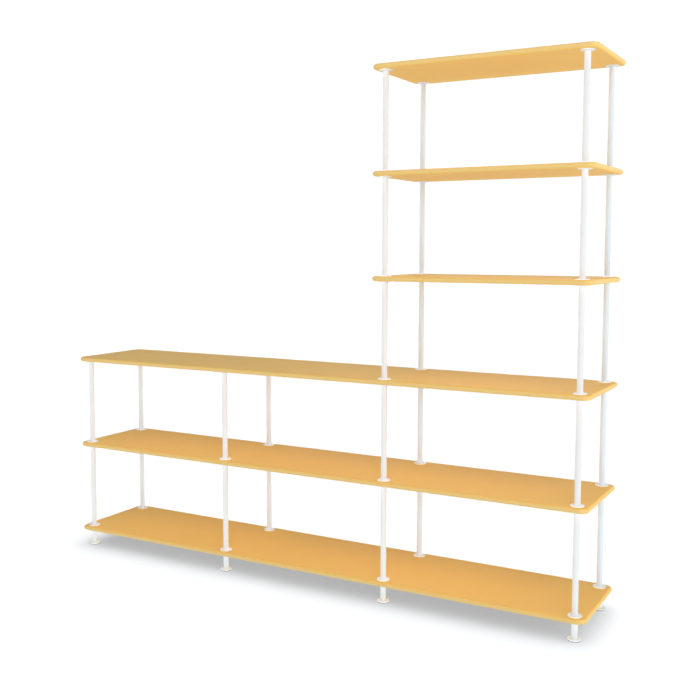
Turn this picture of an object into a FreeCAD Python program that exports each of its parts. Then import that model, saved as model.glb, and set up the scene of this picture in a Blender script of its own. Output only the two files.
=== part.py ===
import FreeCAD, Part
import os
import re
import Sketcher

# An open shelving unit: three long boards across three bays, and a tower of three short boards
# on the right-hand bay. Round posts stand between the boards, each end on a disc collar, and
# threaded studs draw post, collar, board, collar and post together. Screw-out feet level it.
# +Z is up, +X runs along the width with the tower at its high end, +Y runs to the back, and
# the origin is on the floor below the middle of the unit.

# Driving dimensions, in millimetres.
SIZES = {
    # Layout of the post lines and the boards
    "bay_pitch": 651.5,             # between neighbouring post lines, along the width
    "row_pitch": 296.0,             # between the front and the back row of posts
    "end_overhang": 39.75,          # from the outermost post line to the end of a board
    "edge_overhang": 35.0,          # from a row of posts to the long edge of a board
    "board_thickness": 16.0,
    "board_clearance": 326.0,       # free height between two boards
    "board_corner_radius": 29.0,    # in plan
    "board_edge_flat": 0.8,         # flat band left between the two roundings of an edge
    "floor_clearance": 60.0,        # from the floor to the underside of the bottom board
    # Posts and collars
    "post_diameter": 19.0,
    "post_wall": 1.5,
    "collar_diameter": 43.0,
    "collar_thickness": 2.5,
    "collar_bevel": 0.8,
    # Studs, plugs and insert nuts
    "stud_diameter": 8.0,
    "stud_clearance": 0.25,         # radial, in the plain holes of boards and collars
    "thread_clearance": 0.08,       # radial, in tapped holes
    "thread_engagement": 18.0,      # length of a stud inside a post
    "plug_length": 24.0,
    "plug_clearance": 0.05,         # radial, in the tube
    "insert_diameter": 12.0,
    "insert_clearance": 0.1,        # radial, and above the nut
    "insert_cover": 4.5,            # board left above the hole of an insert nut
    # Levelling feet and their pads
    "disc_diameter": 42.0,
    "disc_thickness": 3.5,
    "disc_bevel": 0.8,
    "stem_gap": 4.0,                # between a foot's stem and the stud above it
    "stem_bevel": 1.0,
    "pad_diameter": 41.0,
    "pad_thickness": 1.8,
    "peg_diameter": 5.0,            # peg of a pad, in the underside of its foot
    "peg_height": 2.2,
    "peg_clearance": 0.08,          # radial
    "peg_end_gap": 0.3,             # above the peg
}

ROWS = {"front": "-row_pitch / 2", "back": "row_pitch / 2"}
LINES = ["left", "mid_left", "mid_right", "right"]
TOWER_LINES = ["mid_right", "right"]

# The boards from the floor up, each with the post lines that stand under it and on it.
BOARDS = [
    ("bottom_shelf", LINES, LINES),
    ("middle_shelf", LINES, LINES),
    ("long_top_shelf", LINES, TOWER_LINES),
    ("tower_lower_shelf", TOWER_LINES, TOWER_LINES),
    ("tower_upper_shelf", TOWER_LINES, TOWER_LINES),
    ("tower_top_shelf", TOWER_LINES, []),
]

STUD_RADIUS = "stud_diameter / 2"
PLAIN_HOLE_RADIUS = "stud_diameter / 2 + stud_clearance"
TAPPED_RADIUS = "stud_diameter / 2 + thread_clearance"
INSERT_HOLE_DEPTH = "(board_thickness - insert_cover)"
INSERT_LENGTH = f"({INSERT_HOLE_DEPTH} - insert_clearance)"
POST_LENGTH = "(board_clearance - 2 * collar_thickness)"
FOOT_POST_START = "(pad_thickness + disc_thickness)"
FOOT_POST_LENGTH = f"(floor_clearance - collar_thickness - {FOOT_POST_START})"
STEM_LENGTH = f"({FOOT_POST_LENGTH} - thread_engagement - stem_gap)"

doc = FreeCAD.newDocument("ShelvingUnit")
sheet = doc.addObject("Spreadsheet::Sheet", "Sizes")
for number, (size_name, size_value) in enumerate(SIZES.items(), start=1):
    sheet.set(f"A{number}", size_name)
    sheet.set(f"B{number}", str(size_value))
    sheet.setAlias(f"B{number}", size_name)
doc.recompute()

nodes = []


def formula(text):
    """Points the bare size names of an expression at their cells in the sheet."""
    def cell(word):
        return f"Sizes.{word.group()}" if word.group() in SIZES else word.group()
    return re.sub(r"[a-z_]+", cell, text)


def bind(item, **sizes):
    for name, text in sizes.items():
        item.setExpression(name, formula(text))


def place(item, across="0", back="0", up="0"):
    for axis, text in zip("xyz", (across, back, up)):
        item.setExpression(f"Placement.Base.{axis}", formula(text))


def middle_of(lines):
    """The place of the middle of some post lines among all of them."""
    return sum(LINES.index(line) for line in lines) / len(lines)


def line_place(line, middle):
    """Where a post line stands along the width, from a middle among the lines."""
    return f"({LINES.index(line) - middle}) * bay_pitch"


def underside(level):
    """Height of the underside of a board, counted from the bottom one."""
    return f"(floor_clearance + {level} * (board_thickness + board_clearance))"


def top_face(level):
    return f"({underside(level)} + board_thickness)"


def keep_node(name, item):
    item.Label = name
    nodes.append(item)


def keep_group(name, members):
    """Separate solids of the same kind that share one node."""
    group = doc.addObject("Part::Compound", name)
    group.Links = members
    keep_node(name, group)


# Turned pieces, stacked from coaxial sections


def section(name, start, height, radius, top_radius=None):
    """A cylinder on the Z axis, or a cone where the radius at its top differs."""
    if top_radius is None:
        solid = doc.addObject("Part::Cylinder", name)
        bind(solid, Radius=radius, Height=height)
    else:
        solid = doc.addObject("Part::Cone", name)
        bind(solid, Radius1=radius, Radius2=top_radius, Height=height)
    place(solid, up=start)
    return solid


def turned(name, sections, bore=None):
    """Joins the sections, and takes the bore out of them."""
    solid = sections[0]
    if len(sections) > 1:
        solid = doc.addObject("Part::MultiFuse", f"{name}_body")
        solid.Shapes = sections
    if bore is None:
        return solid
    hollow = doc.addObject("Part::Cut", name)
    hollow.Base = solid
    hollow.Tool = bore
    return hollow


def post():
    tube = section("tube", "0", POST_LENGTH, "post_diameter / 2")
    bore = section("tube_bore", "0", POST_LENGTH, "post_diameter / 2 - post_wall")
    return turned("post", [tube], bore)


def post_plug():
    core = section("plug_core", "0", "plug_length", "post_diameter / 2 - post_wall - plug_clearance")
    thread = section("plug_thread", "0", "plug_length", TAPPED_RADIUS)
    return turned("plug", [core], thread)


def collar(faces_up):
    """A disc with its rim on the board and a small bevel on the side away from it."""
    rim_height = "collar_thickness - collar_bevel"
    wide = "collar_diameter / 2"
    narrow = "collar_diameter / 2 - collar_bevel"
    if faces_up:
        rim = section("collar_rim", "0", rim_height, wide)
        bevel = section("collar_edge", rim_height, "collar_bevel", wide, narrow)
    else:
        bevel = section("collar_edge", "0", "collar_bevel", narrow, wide)
        rim = section("collar_rim", "collar_bevel", rim_height, wide)
    hole = section("collar_hole", "0", "collar_thickness", PLAIN_HOLE_RADIUS)
    return turned("collar", [rim, bevel], hole)


def joining_stud():
    length = "board_thickness + 2 * (collar_thickness + thread_engagement)"
    return section("joining_stud", "0", length, STUD_RADIUS)


def blind_stud():
    length = f"{INSERT_LENGTH} + collar_thickness + thread_engagement"
    return section("blind_stud", "0", length, STUD_RADIUS)


def insert_nut():
    shell = section("insert_shell", "0", INSERT_LENGTH, "insert_diameter / 2")
    thread = section("insert_thread", "0", INSERT_LENGTH, TAPPED_RADIUS)
    return turned("insert", [shell], thread)


def foot_post():
    bar = section("foot_bar", "0", FOOT_POST_LENGTH, "post_diameter / 2")
    thread = section("foot_thread", "0", FOOT_POST_LENGTH, TAPPED_RADIUS)
    return turned("foot_post", [bar], thread)


def levelling_foot():
    """A disc with a threaded stem, and a recess below for the peg of its pad."""
    rim_height = "disc_thickness - disc_bevel"
    wide = "disc_diameter / 2"
    stem_height = f"{STEM_LENGTH} - stem_bevel"
    rim = section("disc_rim", "0", rim_height, wide)
    bevel = section("disc_edge", rim_height, "disc_bevel", wide, "disc_diameter / 2 - disc_bevel")
    stem = section("stem", "disc_thickness", stem_height, STUD_RADIUS)
    tip = section("stem_tip", f"disc_thickness + {stem_height}", "stem_bevel",
                  STUD_RADIUS, "stud_diameter / 2 - stem_bevel")
    recess = section("peg_recess", "0", "peg_height + peg_end_gap", "peg_diameter / 2 + peg_clearance")
    return turned("levelling_foot", [rim, bevel, stem, tip], recess)


def foot_pad():
    disc = section("pad_disc", "0", "pad_thickness", "pad_diameter / 2")
    peg = section("pad_peg", "pad_thickness", "peg_height", "peg_diameter / 2")
    return turned("foot_pad", [disc, peg])


# Boards, drilled for the posts


def flat_sketch(body, name):
    """A sketch in the plane of the board's underside."""
    plane = next(item for item in body.Origin.OriginFeatures if item.Role == "XY_Plane")
    sketch = body.newObject("Sketcher::SketchObject", name)
    sketch.AttachmentSupport = [(plane, "")]
    sketch.MapMode = "FlatFace"
    return sketch


def dimension(sketch, constraint, text):
    index = sketch.addConstraint(constraint)
    sketch.setExpression(f"Constraints[{index}]", formula(text))


def centred_rectangle(sketch, length, depth):
    corners = [(-1, -1), (1, -1), (1, 1), (-1, 1)]
    points = [FreeCAD.Vector(x, y, 0) for x, y in corners]
    for start, end in zip(points, points[1:] + points[:1]):
        sketch.addGeometry(Part.LineSegment(start, end))
    for side in range(4):
        sketch.addConstraint(Sketcher.Constraint("Coincident", side, 2, (side + 1) % 4, 1))
        direction = "Vertical" if side % 2 else "Horizontal"
        sketch.addConstraint(Sketcher.Constraint(direction, side))
    sketch.addConstraint(Sketcher.Constraint("Symmetric", 0, 1, 1, 2, -1, 1))
    dimension(sketch, Sketcher.Constraint("DistanceX", 0, 1, 0, 2, 2.0), length)
    dimension(sketch, Sketcher.Constraint("DistanceY", 1, 1, 1, 2, 2.0), depth)


def round_edges(body, name, picked, radius):
    """Fillets the edges of the body's tip for which picked is true."""
    base = body.Tip
    edges = [f"Edge{number}" for number, edge in enumerate(base.Shape.Edges, start=1) if picked(edge)]
    fillet = body.newObject("PartDesign::Fillet", name)
    fillet.Base = (base, edges)
    bind(fillet, Radius=radius)
    doc.recompute()


def drill(body, name, lines, middle, radius, depth=None):
    """Holes for both rows at each of the post lines, right through or to a depth from below."""
    sketch = flat_sketch(body, f"{name}_circles")
    across = line_place(lines[0], middle)
    for text in ROWS.values():
        circle = sketch.addGeometry(Part.Circle(FreeCAD.Vector(), FreeCAD.Vector(0, 0, 1), 1.0))
        dimension(sketch, Sketcher.Constraint("Radius", circle, 1.0), radius)
        dimension(sketch, Sketcher.Constraint("DistanceX", -1, 1, circle, 3, 1.0), across)
        dimension(sketch, Sketcher.Constraint("DistanceY", -1, 1, circle, 3, 1.0), text)
    pocket = body.newObject("PartDesign::Pocket", name)
    pocket.Profile = sketch
    pocket.Reversed = True
    if depth is None:
        pocket.Type = "ThroughAll"
    else:
        bind(pocket, Length=depth)
    doc.recompute()
    pattern = body.newObject("PartDesign::LinearPattern", f"{name}_pattern")
    pattern.Originals = [pocket]
    pattern.Direction = (sketch, ["H_Axis"])
    pattern.Mode = "Spacing"
    bind(pattern, Offset="bay_pitch")
    pattern.Occurrences = len(lines)
    body.Tip = pattern
    doc.recompute()


def board(name, level, lines_below, lines_above):
    body = doc.addObject("PartDesign::Body", name)
    middle = middle_of(lines_below)
    outline = flat_sketch(body, f"{name}_outline")
    centred_rectangle(outline, f"{len(lines_below) - 1} * bay_pitch + 2 * end_overhang",
                      "row_pitch + 2 * edge_overhang")
    slab = body.newObject("PartDesign::Pad", f"{name}_slab")
    slab.Profile = outline
    bind(slab, Length="board_thickness")
    doc.recompute()
    round_edges(body, f"{name}_corners", is_upright, "board_corner_radius")
    round_edges(body, f"{name}_edges", is_level, "(board_thickness - board_edge_flat) / 2")
    blind_lines = [line for line in lines_below if line not in lines_above]
    if lines_above:
        drill(body, f"{name}_holes", lines_above, middle, PLAIN_HOLE_RADIUS)
    if blind_lines:
        drill(body, f"{name}_insert_holes", blind_lines, middle,
              "insert_diameter / 2 + insert_clearance", INSERT_HOLE_DEPTH)
    place(body, across=f"({middle - middle_of(LINES)}) * bay_pitch", up=underside(level))
    keep_node(name, body)


def is_upright(edge):
    return edge.BoundBox.ZLength > edge.BoundBox.XLength + edge.BoundBox.YLength


def is_level(edge):
    return not is_upright(edge)


# Putting the unit together

collars = []
plugs = []
joining_studs = []
blind_studs = []
insert_nuts = []


def stand(item, line, row, up):
    """Places a piece on a post line of one row."""
    place(item, line_place(line, middle_of(LINES)), ROWS[row], up)
    return item


def join_board(level, line, row, goes_on):
    """Collars, studs and nuts where a post line meets a board."""
    below = f"{underside(level)} - collar_thickness"
    stud_start = f"{below} - thread_engagement"
    collars.append(stand(collar(faces_up=False), line, row, below))
    if goes_on:
        collars.append(stand(collar(faces_up=True), line, row, top_face(level)))
        joining_studs.append(stand(joining_stud(), line, row, stud_start))
    else:
        blind_studs.append(stand(blind_stud(), line, row, stud_start))
        insert_nuts.append(stand(insert_nut(), line, row, underside(level)))


def stand_post(level, line, row):
    """A post on a board, with the plugs in its two ends."""
    foot = f"{top_face(level)} + collar_thickness"
    head = f"{foot} + {POST_LENGTH}"
    keep_node(f"level_{level + 1}_{row}_{line}_post", stand(post(), line, row, foot))
    plugs.append(stand(post_plug(), line, row, foot))
    plugs.append(stand(post_plug(), line, row, f"{head} - plug_length"))


for level, (board_name, lines_below, lines_above) in enumerate(BOARDS):
    board(board_name, level, lines_below, lines_above)
    for line in lines_below:
        for row in ROWS:
            join_board(level, line, row, line in lines_above)
            if line in lines_above:
                stand_post(level, line, row)

for line in LINES:
    pair = [stand(foot_post(), line, row, FOOT_POST_START) for row in ROWS]
    keep_group(f"{line}_foot_posts", pair)
    for row in ROWS:
        keep_node(f"{row}_{line}_levelling_foot", stand(levelling_foot(), line, row, "pad_thickness"))
        keep_node(f"{row}_{line}_foot_pad", stand(foot_pad(), line, row, "0"))

keep_group("post_collars", collars)
keep_group("post_end_plugs", plugs)
keep_group("joining_studs", joining_studs)
keep_group("blind_studs", blind_studs)
keep_group("insert_nuts", insert_nuts)

doc.recompute()

for item in doc.Objects:
    if "Invalid" in item.State or "Error" in item.State:
        raise RuntimeError(f"{item.Label} did not compute: {item.State}")
for item in nodes:
    if item.Shape.isNull() or not item.Shape.isValid():
        raise RuntimeError(f"{item.Label} has no valid shape")

os.makedirs("parts", exist_ok=True)
for item in nodes:
    item.Shape.exportStep(f"parts/{item.Label}.step")
print(f"{len(nodes)} nodes, {sum(len(item.Shape.Solids) for item in nodes)} solids")
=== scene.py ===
import math

import bmesh
import bpy
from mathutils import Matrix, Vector


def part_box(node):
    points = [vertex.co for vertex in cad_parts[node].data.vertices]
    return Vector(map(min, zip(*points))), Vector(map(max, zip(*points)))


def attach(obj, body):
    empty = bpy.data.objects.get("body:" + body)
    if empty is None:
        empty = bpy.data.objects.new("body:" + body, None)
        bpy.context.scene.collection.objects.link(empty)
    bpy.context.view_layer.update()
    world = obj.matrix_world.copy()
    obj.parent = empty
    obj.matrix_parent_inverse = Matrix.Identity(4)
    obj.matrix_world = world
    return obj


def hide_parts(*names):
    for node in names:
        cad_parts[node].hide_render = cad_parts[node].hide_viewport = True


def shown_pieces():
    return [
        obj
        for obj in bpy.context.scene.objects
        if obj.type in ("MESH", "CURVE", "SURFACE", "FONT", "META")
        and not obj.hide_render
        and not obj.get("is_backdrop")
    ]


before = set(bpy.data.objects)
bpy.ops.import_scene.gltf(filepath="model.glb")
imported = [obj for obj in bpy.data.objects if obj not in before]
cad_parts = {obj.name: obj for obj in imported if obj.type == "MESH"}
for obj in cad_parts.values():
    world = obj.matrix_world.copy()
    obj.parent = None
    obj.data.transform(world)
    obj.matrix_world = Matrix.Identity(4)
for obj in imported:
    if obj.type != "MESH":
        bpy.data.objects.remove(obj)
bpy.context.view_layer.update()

# An open shelving unit in metres: yellow lacquered boards on white posts, each post end on a disc
# collar, and feet that screw out of the lowest posts. +Z is up, +X runs towards the tower.

MM = 0.001
WELD = 0.001 * MM
NEAR = 1 * MM
SHARP_ANGLE = math.radians(30)
FLAT_FACE_WEIGHT = 100
UP = Vector((0, 0, 1))
WHITE = (1, 1, 1, 1)
BLACK = (0, 0, 0, 1)

# Boards
BOARDS = ["bottom_shelf", "middle_shelf", "long_top_shelf",
          "tower_lower_shelf", "tower_upper_shelf", "tower_top_shelf"]
CORNER_RADIUS = 29 * MM
EDGE_RADIUS = 7.6 * MM
CORNER_STEPS = 18
EDGE_STEPS = 9
STUD_HOLE_RADIUS = 4.25 * MM
INSERT_HOLE_RADIUS = 6.1 * MM
INSERT_HOLE_DEPTH = 11.5 * MM
DRILL_START = 1 * MM
DRILL_STEPS = 32

# Posts and collars, in a front and a back row on four lines
LINES = ["left", "mid_left", "mid_right", "right"]
ROWS = ["front", "back"]
ROUND_STEPS = 72
POST_WALL = 1.5 * MM
POST_END_BEVEL = 0.35 * MM
COLLAR_RADIUS = 21.5 * MM
COLLAR_THICKNESS = 2.5 * MM
COLLAR_STEPS = 56
RIM_ROUNDING = 0.8 * MM
RIM_STEPS = 3
FOOT_BORE_RADIUS = 4.08 * MM

# Levelling feet and their pads
DISC_THICKNESS = 3.5 * MM
PEG_RADIUS = 2.5 * MM
PEG_HEIGHT = 2.2 * MM
PEG_CLEARANCE = 0.08 * MM
PEG_END_GAP = 0.3 * MM
PAD_EDGE_BEVEL = 0.25 * MM
THREAD_PITCH = 1.25 * MM
THREAD_CREST_RADIUS = 4.0 * MM
THREAD_ROOT_RADIUS = 3.32 * MM
THREAD_STEPS = 24
STEM_TAPER = 1.0 * MM

# One tooth of the thread: the radius at each part of a pitch
THREAD_TOOTH = [(THREAD_ROOT_RADIUS, 0.0), (THREAD_ROOT_RADIUS, 0.14), (THREAD_CREST_RADIUS, 0.46),
                (THREAD_CREST_RADIUS, 0.58), (THREAD_ROOT_RADIUS, 0.90), (THREAD_ROOT_RADIUS, 1.0)]

# Finishes. For each: its deeper and paler colour, the cycles to the metre of its grains, the values of a
# grain between which the colour changes, the least roughness, the strength and height of the relief,
# and how much of the light it mirrors.
LACQUER_DEEP = (0.880, 0.532, 0.138, 1)
LACQUER_PALE = (0.908, 0.554, 0.146, 1)
# The edge colour is painted light: the rounded edges are coloured darker, to offset the key light that falls
# strongest on them, and paler, for a bright rim.
LACQUER_PAINTED_EDGE_LIGHT = (0.716, 0.478, 0.174, 1)
LACQUER_DRIFT = 2.6
LACQUER_CLOUD = 24.0
LACQUER_PEEL = 620.0
LACQUER_DUST = 2400.0
LACQUER_TONE_RANGE = (0.32, 0.68)
LACQUER_PAINTED_EDGE_LIGHT_RANGE = (0.2, 0.85)
LACQUER_ROUGHNESS = 0.56
LACQUER_RELIEF = (0.30, 0.12 * MM)
LACQUER_SPECULAR = 0.08

POWDER_DEEP = (0.856, 0.858, 0.862, 1)
POWDER_PALE = (0.886, 0.888, 0.892, 1)
POWDER_DRIFT = 5.0
POWDER_PEBBLE = 1100.0
POWDER_GRAIN = 3600.0
POWDER_TONE_RANGE = (0.3, 0.7)
POWDER_ROUGHNESS = 0.44
POWDER_RELIEF = (0.45, 0.10 * MM)
POWDER_SPECULAR = 0.4

FELT_DEEP = (0.012, 0.012, 0.012, 1)
FELT_PALE = (0.045, 0.043, 0.042, 1)
FELT_FIBRE = 2600.0
FELT_MAT = 420.0
FELT_TONE_RANGE = (0.42, 0.72)
FELT_ROUGHNESS = 0.86
FELT_RELIEF = (0.7, 0.25 * MM)
FELT_SPECULAR = 0.2

ZINC_DEEP = (0.560, 0.575, 0.590, 1)
ZINC_PALE = (0.690, 0.700, 0.710, 1)
ZINC_SPANGLE = 900.0
ZINC_PATCH = 160.0
ZINC_TONE_RANGE = (0.35, 0.7)
ZINC_ROUGHNESS = 0.26
ZINC_RELIEF = (0.25, 0.05 * MM)

# Floor and backdrop. The floor glows a little, more so far away, where it meets the white backdrop: the
# range is in squared shares of the floor's reach.
FLOOR_COLOUR = (0.06, 0.06, 0.06, 1)
FLOOR_ROUGHNESS = 0.9
FLOOR_REACH = 60.0
FLOOR_GLOW = 0.41
FLOOR_GLOW_COLOUR = (0.965, 1.0, 1.04, 1)
FLOOR_FAR_GLOW_COLOUR = (1.25, 1.25, 1.25, 1)
FLOOR_FAR_RANGE = (0.17, 0.56)
BACKDROP_GLOW = 1.04
BACKDROP_STEPS = (48, 24)

# The light above the floor: how wide it looks, its strength, and how far it leans to the back and right
OVERHEAD_WIDTH = math.radians(140)
OVERHEAD_STRENGTH = 35.0
OVERHEAD_LEAN = (math.radians(10), math.radians(20))

# The surroundings: their slightly cool colour, their brightness level with the unit, with more from the
# right and the back, then straight up and straight down, and the heights between which down becomes
# level and level becomes up
SKY_COLOUR = (0.845, 0.935, 0.98, 1)
SKY_LEVEL = 2.16
SKY_RIGHT = 0.50
SKY_BACK = 0.36
SKY_UP = 0.12
SKY_DOWN = 1.01
SKY_HORIZON = (0.0, 0.01)
SKY_RISE = (0.28, 0.5)

# Soft lights on the unit: place, aim, width, height, and power in watts on each group of pieces
SOFTBOXES = {
    "key": ((2.45, -3.5, 4.7), (0.3, 0, 0.7), 3.6, 3.0, {"boards": 87.0, "collars": 68.0, "feet": 66.0}),
    "top": ((0.3, -1.6, 5.2), (0.1, 0, 0.8), 4.0, 2.2, {"boards": 20.0, "collars": 20.0}),
    "right": ((4.0, -1.0, 1.0), (0.6, 0, 0.9), 2.0, 1.6, {"boards": 38.0}),
    "left": ((-3.8, -1.8, 1.1), (-0.2, 0, 0.8), 2.4, 1.8, {"boards": 26.4}),
    "back": ((0.0, 3.6, 1.2), (0, 0, 0.8), 4.0, 1.6, {"boards": 17.0}),
    "low": ((0.9, -4.2, 1.7), (0.2, 0, 0.0), 3.0, 1.2, {"feet": 44.0, "collars": 60.0}),
    "cool": ((1.9, -3.6, 1.4), (0.2, 0.15, 0.9), 2.5, 2.0,
             {"low_back_posts": 28.0, "high_back_posts": 12.0}),
    "warm": ((1.9, -3.6, 1.4), (0.2, -0.15, 0.9), 2.5, 2.0,
             {"front_posts": 22.0, "foot_posts": 10.0, "collars": 10.0, "feet": 12.0}),
    "warm_rear": ((0.0, 3.8, 1.2), (0, 0, 0.9), 4.0, 1.8,
                  {"low_back_posts": 18.0, "high_back_posts": 18.0}),
}

# Colours of the lights that are not white: the cool and warm softboxes, and all lights on the boards
TINTS = {"cool": (0.0, 0.36, 1.0), "warm": (1.0, 0.35, 0.0), "warm_rear": (1.0, 0.35, 0.0),
         "boards": (1.0, 0.92, 0.84)}
NO_TINT = (1.0, 1.0, 1.0)

# Words in the names of the pieces that a light shines on, and of those that shade the floor
GROUP_WORDS = {
    "boards": ["_board"],
    "collars": ["_collars"],
    "feet": ["_disc"],
    "foot_posts": ["_foot_bars"],
    "front_posts": ["_front_"],
    "low_back_posts": ["_1_back_", "_2_back_"],
    "high_back_posts": ["_3_back_", "_4_back_", "_5_back_"],
    "floor": ["floor"],
    "floor_shade": ["bottom_shelf", "_foot_"],
}

# Camera, at the angle of the photograph
CAMERA_PLACE = (1.7483, -3.0324, 1.2013)
CAMERA_PITCH = math.radians(85.031)
CAMERA_TURN = math.radians(29.965)
CAMERA_LENS = 50.02
CAMERA_SENSOR = 36.0
CAMERA_SHIFT = (0.0404, -0.0279)


def add_object(name, data):
    """Puts a mesh, a light or a camera into the scene."""
    thing = bpy.data.objects.new(name, data)
    bpy.context.scene.collection.objects.link(thing)
    return thing


# Finishes, built from shader nodes


class Value:
    """A number that changes over a surface: one output of a shading's nodes."""

    def __init__(self, shading, socket):
        self.shading = shading
        self.socket = socket

    def maths(self, operation, first, second):
        return self.shading.node("ShaderNodeMath", {"operation": operation}, {0: first, 1: second})

    def __add__(self, other):
        return self.maths("ADD", self, other)

    def __radd__(self, other):
        return self.maths("ADD", other, self)

    def __sub__(self, other):
        return self.maths("SUBTRACT", self, other)

    def __rsub__(self, other):
        return self.maths("SUBTRACT", other, self)

    def __mul__(self, other):
        return self.maths("MULTIPLY", self, other)

    def __rmul__(self, other):
        return self.maths("MULTIPLY", other, self)


class Shading:
    """The nodes of a material or of the surroundings."""

    def __init__(self, owner):
        owner.use_nodes = True
        self.tree = owner.node_tree
        self.tree.nodes.clear()

    def node(self, kind, settings=None, sockets=None, output=0):
        """Adds a node: its settings first, then the values or links of its sockets."""
        node = self.tree.nodes.new(kind)
        for name, value in (settings or {}).items():
            if name == "stops":
                stops = node.color_ramp.elements
                while len(stops) < len(value):
                    stops.new(1.0)
                for stop, (position, colour) in zip(stops, value):
                    stop.position = position
                    stop.color = colour
            else:
                setattr(node, name, value)
        for name, value in (sockets or {}).items():
            if isinstance(value, Value):
                self.tree.links.new(value.socket, node.inputs[name])
            else:
                node.inputs[name].default_value = value
        return Value(self, node.outputs[output]) if node.outputs else None

    def ramp(self, value, low, high):
        """Black below the low value and white above the high one."""
        stops = [(low, BLACK), (high, WHITE)]
        return self.node("ShaderNodeValToRGB", {"stops": stops}, {"Fac": value})

    def axes(self, vector, names):
        """Parts of a vector along the named axes."""
        return [self.node("ShaderNodeSeparateXYZ", None, {"Vector": vector}, output=name) for name in names]


class Finish(Shading):
    """A procedural material, patterned on the object's own coordinates."""

    def __init__(self, name):
        self.material = bpy.data.materials.new(name)
        super().__init__(self.material)
        self.place = self.node("ShaderNodeTexCoord", output="Object")

    def noise(self, scale, detail=2.0, roughness=0.5):
        """Soft noise about 0.5, with its scale in cycles to the metre."""
        return self.node("ShaderNodeTexNoise", {"normalize": True},
                         {"Vector": self.place, "Scale": scale, "Detail": detail, "Roughness": roughness})

    def mix(self, share, first, second):
        """A colour between two, by share."""
        return self.node("ShaderNodeMix", {"data_type": "RGBA", "clamp_factor": True},
                         {0: share, 6: first, 7: second}, output=2)

    def bump(self, height, strength, distance):
        """The surface's direction with a relief on it."""
        return self.node("ShaderNodeBump", None,
                         {"Height": height, "Strength": strength, "Distance": distance})

    def surface(self, sockets):
        """Ends the nodes in a surface with these values."""
        shader = self.node("ShaderNodeBsdfPrincipled", None, sockets)
        self.node("ShaderNodeOutputMaterial", None, {"Surface": shader})
        return self.material


def yellow_lacquer():
    """Sprayed satin lacquer: an even yellow with a slow drift and a fine peel; its edges get painted light,
    darker and less red.
    """
    lacquer = Finish("yellow_lacquer")
    drift = lacquer.noise(LACQUER_DRIFT)
    cloud = lacquer.noise(LACQUER_CLOUD, 3.0)
    peel = lacquer.noise(LACQUER_PEEL)
    dust = lacquer.noise(LACQUER_DUST, 1.0)
    tone = lacquer.ramp(drift * 0.7 + cloud * 0.3, *LACQUER_TONE_RANGE)
    # Painted light: by how far the surface turns from level, the colour goes darker and less red across the
    # rounded edges.
    facing = lacquer.node("ShaderNodeNewGeometry", output="Normal")
    level = lacquer.axes(facing, "Z")[0]
    edge = lacquer.ramp(1 - level * level, *LACQUER_PAINTED_EDGE_LIGHT_RANGE)
    flat_colour = lacquer.mix(tone, LACQUER_DEEP, LACQUER_PALE)
    return lacquer.surface({
        "Base Color": lacquer.mix(edge, flat_colour, LACQUER_PAINTED_EDGE_LIGHT),
        "Roughness": LACQUER_ROUGHNESS + cloud * 0.10 + dust * 0.04,
        "Normal": lacquer.bump(peel * 0.75 + dust * 0.25, *LACQUER_RELIEF),
        "Specular IOR Level": LACQUER_SPECULAR,
    })


def white_powder_coat():
    """Baked powder paint on steel: a clean white, with the pebbled skin of the melted grains."""
    powder = Finish("white_powder_coat")
    drift = powder.noise(POWDER_DRIFT)
    pebble = powder.noise(POWDER_PEBBLE)
    grain = powder.noise(POWDER_GRAIN, 1.0)
    return powder.surface({
        "Base Color": powder.mix(powder.ramp(drift, *POWDER_TONE_RANGE), POWDER_DEEP, POWDER_PALE),
        "Roughness": POWDER_ROUGHNESS + pebble * 0.12 + grain * 0.04,
        "Normal": powder.bump(pebble * 0.7 + grain * 0.3, *POWDER_RELIEF),
        "Specular IOR Level": POWDER_SPECULAR,
    })


def dark_pad():
    """Dense dark felt: short matted fibres with paler flecks."""
    felt = Finish("dark_pad")
    fibre = felt.noise(FELT_FIBRE, 3.0, 0.65)
    mat = felt.noise(FELT_MAT)
    return felt.surface({
        "Base Color": felt.mix(felt.ramp(fibre, *FELT_TONE_RANGE), FELT_DEEP, FELT_PALE),
        "Roughness": FELT_ROUGHNESS + mat * 0.12,
        "Normal": felt.bump(fibre * 0.6 + mat * 0.4, *FELT_RELIEF),
        "Specular IOR Level": FELT_SPECULAR,
    })


def zinc_steel():
    """Zinc-plated steel: a cool bright metal with fine spangle and duller patches."""
    zinc = Finish("zinc_steel")
    spangle = zinc.node("ShaderNodeTexVoronoi", {"feature": "F1"},
                        {"Vector": zinc.place, "Scale": ZINC_SPANGLE})
    patch = zinc.noise(ZINC_PATCH, 3.0)
    return zinc.surface({
        "Base Color": zinc.mix(zinc.ramp(patch, *ZINC_TONE_RANGE), ZINC_DEEP, ZINC_PALE),
        "Roughness": ZINC_ROUGHNESS + spangle * 0.10 + patch * 0.12,
        "Normal": zinc.bump(spangle * 0.5 + patch * 0.5, *ZINC_RELIEF),
        "Metallic": 1.0,
    })


FINISHES = {
    "yellow_lacquer": yellow_lacquer(),
    "white_powder_coat": white_powder_coat(),
    "dark_pad": dark_pad(),
    "zinc_steel": zinc_steel(),
}


# Shapes, each made once about the upright axis


def as_mesh(bm):
    """Ends a bmesh in a mesh of its own."""
    mesh = bpy.data.meshes.new("shape")
    bm.to_mesh(mesh)
    bm.free()
    return mesh


def turned(profile, steps):
    """Spins a closed profile of (radius, height) points about the upright axis."""
    bm = bmesh.new()
    corners = [bm.verts.new((radius, 0, height)) for radius, height in profile]
    edges = [bm.edges.new(pair) for pair in zip(corners, corners[1:] + corners[:1])]
    bmesh.ops.spin(bm, geom=corners + edges, cent=(0, 0, 0), axis=(0, 0, 1), dvec=(0, 0, 0),
                   angle=math.tau, steps=steps, use_merge=True, use_duplicate=False)
    bmesh.ops.remove_doubles(bm, verts=bm.verts, dist=WELD)
    bmesh.ops.recalc_face_normals(bm, faces=bm.faces)
    return as_mesh(bm)


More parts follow.
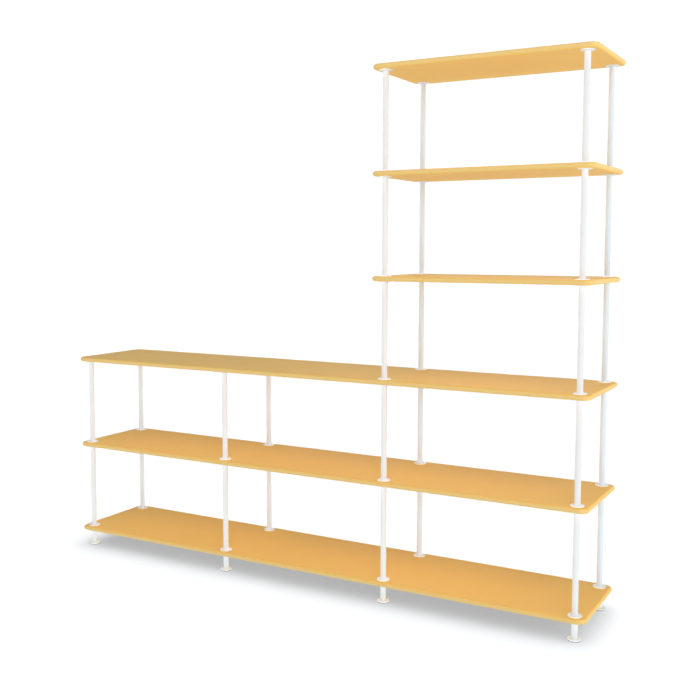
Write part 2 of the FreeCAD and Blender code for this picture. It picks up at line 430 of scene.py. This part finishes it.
def rounded_rim(radius, height, towards):
    """Points of a quarter round from the side of a disc to its face at a height."""
    points = []
    for step in range(RIM_STEPS + 1):
        angle = math.pi / 2 * step / RIM_STEPS
        points.append((radius - RIM_ROUNDING * (1 - math.cos(angle)),
                       height - towards * RIM_ROUNDING * (1 - math.sin(angle))))
    return points


def bar(bore, radius, length):
    """A round bar with a bore, its two ends lightly bevelled."""
    bevel = POST_END_BEVEL
    return turned([(bore, 0), (radius - bevel, 0), (radius, bevel), (radius, length - bevel),
                   (radius - bevel, length), (bore, length)], ROUND_STEPS)


def collar(towards):
    """A disc that lies on a board at height 0, its rim rounded on the side towards the post."""
    face = towards * COLLAR_THICKNESS
    return turned([(STUD_HOLE_RADIUS, 0), (COLLAR_RADIUS, 0), *rounded_rim(COLLAR_RADIUS, face, towards),
                   (STUD_HOLE_RADIUS, face)], COLLAR_STEPS)


def foot_disc(radius):
    """The disc of a levelling foot, with the recess for its pad's peg below."""
    recess = PEG_HEIGHT + PEG_END_GAP
    bore = PEG_RADIUS + PEG_CLEARANCE
    return turned([(0, recess), (bore, recess), (bore, 0), (radius, 0),
                   *rounded_rim(radius, DISC_THICKNESS, 1), (0, DISC_THICKNESS)], ROUND_STEPS)


def pad_disc(radius, thickness):
    """A floor pad, with its edges eased and the peg that holds it in the foot."""
    bevel = PAD_EDGE_BEVEL
    peg_top = thickness + PEG_HEIGHT
    return turned([(0, 0), (radius - bevel, 0), (radius, bevel), (radius, thickness - bevel),
                   (radius - bevel, thickness), (PEG_RADIUS, thickness), (PEG_RADIUS, peg_top),
                   (0, peg_top)], ROUND_STEPS)


def threaded_bar(length):
    """A bar with a screw thread all along it, cut square below and tapered at its tip."""
    bm = bmesh.new()
    turns = math.ceil(length / THREAD_PITCH) + 2
    corners = [bm.verts.new((radius, 0, (part - 1) * THREAD_PITCH)) for radius, part in THREAD_TOOTH]
    edges = [bm.edges.new(pair) for pair in zip(corners, corners[1:])]
    bmesh.ops.spin(bm, geom=corners + edges, cent=(0, 0, 0), axis=(0, 0, 1),
                   dvec=(0, 0, THREAD_PITCH / THREAD_STEPS), angle=math.tau * turns,
                   steps=THREAD_STEPS * turns, use_merge=False, use_duplicate=False)
    bmesh.ops.remove_doubles(bm, verts=bm.verts, dist=WELD)
    for height, outwards in ((0, -1), (length, 1)):
        cut = bmesh.ops.bisect_plane(bm, geom=bm.verts[:] + bm.edges[:] + bm.faces[:], dist=WELD,
                                     plane_co=(0, 0, height), plane_no=(0, 0, outwards), clear_outer=True)
        rim = [item for item in cut["geom_cut"] if isinstance(item, bmesh.types.BMEdge)]
        bmesh.ops.edgeloop_fill(bm, edges=rim)
    for vert in bm.verts:
        reach = THREAD_CREST_RADIUS - max(0, vert.co.z - length + STEM_TAPER)
        width = math.hypot(vert.co.x, vert.co.y)
        if width > reach:
            vert.co.x *= reach / width
            vert.co.y *= reach / width
    bmesh.ops.recalc_face_normals(bm, faces=bm.faces)
    return as_mesh(bm)


def is_upright(edge):
    """Whether an edge rises more than it runs."""
    start, end = (vert.co for vert in edge.verts)
    return abs(end.z - start.z) > abs(end.x - start.x) + abs(end.y - start.y)


def rounded_slab(low, high):
    """A board between two corners, round in plan at its corners and half round along its edges."""
    bm = bmesh.new()
    bmesh.ops.create_cube(bm, size=1.0)
    bmesh.ops.scale(bm, vec=high - low, verts=bm.verts)
    bmesh.ops.translate(bm, vec=(low + high) / 2, verts=bm.verts)
    upright = [edge for edge in bm.edges if is_upright(edge)]
    bmesh.ops.bevel(bm, geom=upright, offset=CORNER_RADIUS, offset_type="OFFSET", affect="EDGES",
                    segments=CORNER_STEPS, profile=0.5, material=-1, clamp_overlap=False)
    level = [edge for edge in bm.edges if not is_upright(edge)]
    bmesh.ops.bevel(bm, geom=level, offset=EDGE_RADIUS, offset_type="OFFSET", affect="EDGES",
                    segments=EDGE_STEPS, profile=0.5, material=-1, clamp_overlap=False)
    return as_mesh(bm)


def copies(shape, places):
    """One mesh with a copy of a shape at each place."""
    bm = bmesh.new()
    for place in places:
        made = len(bm.verts)
        bm.from_mesh(shape)
        bm.verts.ensure_lookup_table()
        bmesh.ops.translate(bm, vec=place, verts=bm.verts[made:])
    return as_mesh(bm)


def drill(radius, depth):
    """A cutter that starts below a board's lower face at height 0 and goes up to a depth."""
    return turned([(0, -DRILL_START), (radius, -DRILL_START), (radius, depth), (0, depth)], DRILL_STEPS)


def drilled(board, drills):
    """A board's mesh with the drills taken out of it."""
    blank = add_object("blank", board)
    tools = []
    for cutter in drills:
        tool = add_object("drill", cutter)
        cut = blank.modifiers.new("cut", "BOOLEAN")
        cut.operation = "DIFFERENCE"
        cut.solver = "EXACT"
        cut.object = tool
        tools.append(tool)
    done = blank.evaluated_get(bpy.context.evaluated_depsgraph_get())
    mesh = bpy.data.meshes.new_from_object(done)
    for item in [blank, *tools]:
        bpy.data.objects.remove(item)
    return mesh


# Pieces, each on its body


def make_piece(name, mesh, slot, body, node):
    """An object with a finish, which stands for a CAD node and moves with its body."""
    mesh.name = name
    mesh.shade_smooth()
    mesh.set_sharp_from_angle(angle=SHARP_ANGLE)
    mesh.materials.clear()
    mesh.materials.append(FINISHES[slot])
    piece = add_object(name, mesh)
    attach(piece, body)
    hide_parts(node)
    return piece


def level_normals(piece):
    """Keeps the flat faces flat to the light, next to their rounded edges."""
    normals = piece.modifiers.new("level_normals", "WEIGHTED_NORMAL")
    normals.mode = "FACE_AREA"
    normals.weight = FLAT_FACE_WEIGHT
    normals.keep_sharp = True


def foot_of(node):
    """The point of a node's axis at its lowest height."""
    low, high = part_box(node)
    middle = (low + high) / 2
    middle.z = low.z
    return middle


def size_of(node):
    """The length of a node along each axis."""
    low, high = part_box(node)
    return high - low


posts = sorted(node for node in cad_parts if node.endswith("_post"))
pads = {(row, line): f"{row}_{line}_foot_pad" for row in ROWS for line in LINES}
post_size = size_of(posts[0])

tube = bar(post_size.x / 2 - POST_WALL, post_size.x / 2, post_size.z)
for post in posts:
    make_piece(f"{post}_tube", copies(tube, [foot_of(post)]), "white_powder_coat", "frame", post)

# A collar lies on the board at both ends of every post, and over every foot post.
foot_post_size = size_of("left_foot_posts")
on_board = [foot_of(post) - UP * COLLAR_THICKNESS for post in posts]
under_board = [foot_of(post) + UP * (post_size.z + COLLAR_THICKNESS) for post in posts]
for pad in pads.values():
    place = foot_of(pad)
    place.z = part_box("left_foot_posts")[1].z + COLLAR_THICKNESS
    under_board.append(place)
discs = bmesh.new()
discs.from_mesh(copies(collar(1), on_board))
discs.from_mesh(copies(collar(-1), under_board))
make_piece("disc_collars", as_mesh(discs), "white_powder_coat", "frame", "post_collars")

foot_bar = bar(FOOT_BORE_RADIUS, foot_post_size.x / 2, foot_post_size.z)
for line in LINES:
    node = f"{line}_foot_posts"
    places = [foot_of(pads[row, line]) for row in ROWS]
    for place in places:
        place.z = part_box(node)[0].z
    make_piece(f"{line}_foot_bars", copies(foot_bar, places), "white_powder_coat", "frame", node)

foot_size = size_of("front_left_levelling_foot")
pad_size = size_of("front_left_foot_pad")
disc = foot_disc(foot_size.x / 2)
stem = threaded_bar(foot_size.z - DISC_THICKNESS)
felt = pad_disc(pad_size.x / 2, pad_size.z - PEG_HEIGHT)
for (row, line), pad in pads.items():
    foot = f"{row}_{line}_levelling_foot"
    place = foot_of(foot)
    make_piece(f"{foot}_disc", copies(disc, [place]), "white_powder_coat", f"{row}_{line}_foot", foot)
    make_piece(f"{foot}_stem", copies(stem, [place + UP * DISC_THICKNESS]), "zinc_steel",
               f"{row}_{line}_foot", foot)
    make_piece(f"{pad}_felt", copies(felt, [foot_of(pad)]), "dark_pad", f"{row}_{line}_pad", pad)

# Boards have a stud hole where posts stand on both faces, and a blind insert hole elsewhere.
for board in BOARDS:
    low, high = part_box(board)
    below = [place for place in under_board if abs(place.z - low.z) < NEAR]
    above = [place for place in on_board if abs(place.z - high.z) < NEAR]
    through = [place for place in below if any((place - other).xy.length < NEAR for other in above)]
    blind = [place for place in below if place not in through]
    drills = []
    if through:
        drills.append(copies(drill(STUD_HOLE_RADIUS, high.z - low.z + DRILL_START), through))
    if blind:
        drills.append(copies(drill(INSERT_HOLE_RADIUS, INSERT_HOLE_DEPTH), blind))
    mesh = drilled(rounded_slab(low, high), drills)
    level_normals(make_piece(f"{board}_board", mesh, "yellow_lacquer", "frame", board))

# Studs, plugs and nuts stay as they are inside the posts and boards, in bright zinc.
for node in ("post_end_plugs", "joining_studs", "blind_studs", "insert_nuts"):
    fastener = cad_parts[node].data
    fastener.materials.clear()
    fastener.materials.append(FINISHES["zinc_steel"])


# Floor, light and camera


def show_to_camera_alone(thing):
    """Keeps a thing of the studio out of the light that other things get."""
    thing.visible_diffuse = False
    thing.visible_glossy = False
    thing.visible_shadow = False


floor_shape = bmesh.new()
bmesh.ops.create_grid(floor_shape, x_segments=1, y_segments=1, size=FLOOR_REACH)
floor = add_object("floor", as_mesh(floor_shape))
paper = Finish("white_floor")
across, along = paper.axes(paper.place, "XY")
spread = (across * across + along * along) * (1 / FLOOR_REACH ** 2)
glow = paper.mix(paper.ramp(spread, *FLOOR_FAR_RANGE), FLOOR_GLOW_COLOUR, FLOOR_FAR_GLOW_COLOUR)
floor.data.materials.append(paper.surface({
    "Base Color": FLOOR_COLOUR,
    "Roughness": FLOOR_ROUGHNESS,
    "Specular IOR Level": 0.0,
    "Emission Color": glow,
    "Emission Strength": FLOOR_GLOW,
}))
show_to_camera_alone(floor)
floor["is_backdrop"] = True

# The floor stays below the lowest pad, also where a foot is screwed out.
for pad in pads.values():
    below_pad = floor.constraints.new("FLOOR")
    below_pad.target = bpy.data.objects[f"{pad}_felt"]
    below_pad.floor_location = "FLOOR_NEGATIVE_Z"

# A white backdrop all round
around, upwards = BACKDROP_STEPS
backdrop_shape = bmesh.new()
bmesh.ops.create_uvsphere(backdrop_shape, u_segments=around, v_segments=upwards, radius=FLOOR_REACH)
backdrop = add_object("backdrop", as_mesh(backdrop_shape))
backdrop.data.materials.append(Finish("white_backdrop").surface({
    "Base Color": BLACK,
    "Specular IOR Level": 0.0,
    "Emission Color": WHITE,
    "Emission Strength": BACKDROP_GLOW,
}))
show_to_camera_alone(backdrop)
backdrop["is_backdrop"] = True

# Light from all round, which changes with the direction that it comes from
studio = bpy.data.worlds.new("studio")
bpy.context.scene.world = studio
sky = Shading(studio)
direction = sky.node("ShaderNodeTexCoord", output="Generated")
right, back, height = sky.axes(direction, "XYZ")
over = sky.ramp(height, *SKY_HORIZON)
high = sky.ramp(height, *SKY_RISE)
level = SKY_LEVEL + right * SKY_RIGHT + back * SKY_BACK
strength = over * (high * SKY_UP + (1 - high) * level) + (1 - over) * SKY_DOWN
sky_light = sky.node("ShaderNodeBackground", None, {"Color": SKY_COLOUR, "Strength": strength})
sky.node("ShaderNodeOutputWorld", None, {"Surface": sky_light})

# Groups of pieces, each with lights of its own
groups = {name: bpy.data.collections.new(name) for name in GROUP_WORDS}
for piece in [*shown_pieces(), floor]:
    for name, words in GROUP_WORDS.items():
        if any(word in piece.name for word in words):
            groups[name].objects.link(piece)

# The light from above reaches the floor alone, and only the lowest board and the feet shade it. Its
# multiple importance sampling is off, because every piece would shade it otherwise.
overhead = bpy.data.lights.new("overhead", "SUN")
overhead.angle = OVERHEAD_WIDTH
overhead.energy = OVERHEAD_STRENGTH
overhead.cycles.use_multiple_importance_sampling = False
lean_back, lean_right = OVERHEAD_LEAN
lamp = add_object("overhead", overhead)
lamp.rotation_euler = (-lean_back, lean_right, 0)
lamp.light_linking.receiver_collection = groups["floor"]
lamp.light_linking.blocker_collection = groups["floor_shade"]

for name, (place, aim, width, height, powers) in SOFTBOXES.items():
    for group, power in powers.items():
        light = bpy.data.lights.new(f"{name}_{group}", "AREA")
        light.shape = "RECTANGLE"
        light.size = width
        light.size_y = height
        light.energy = power
        light.color = TINTS.get(name, TINTS.get(group, NO_TINT))
        lamp = add_object(f"{name}_{group}", light)
        lamp.location = place
        lamp.rotation_euler = (Vector(aim) - Vector(place)).to_track_quat("-Z", "Y").to_euler()
        lamp.light_linking.receiver_collection = groups[group]

camera = bpy.data.cameras.new("camera")
camera.lens = CAMERA_LENS
camera.sensor_width = CAMERA_SENSOR
camera.shift_x, camera.shift_y = CAMERA_SHIFT
eye = add_object("camera", camera)
eye.location = CAMERA_PLACE
eye.rotation_euler = (CAMERA_PITCH, 0, CAMERA_TURN)
bpy.context.scene.camera = eye
bpy.context.scene.view_settings.view_transform = "Standard"
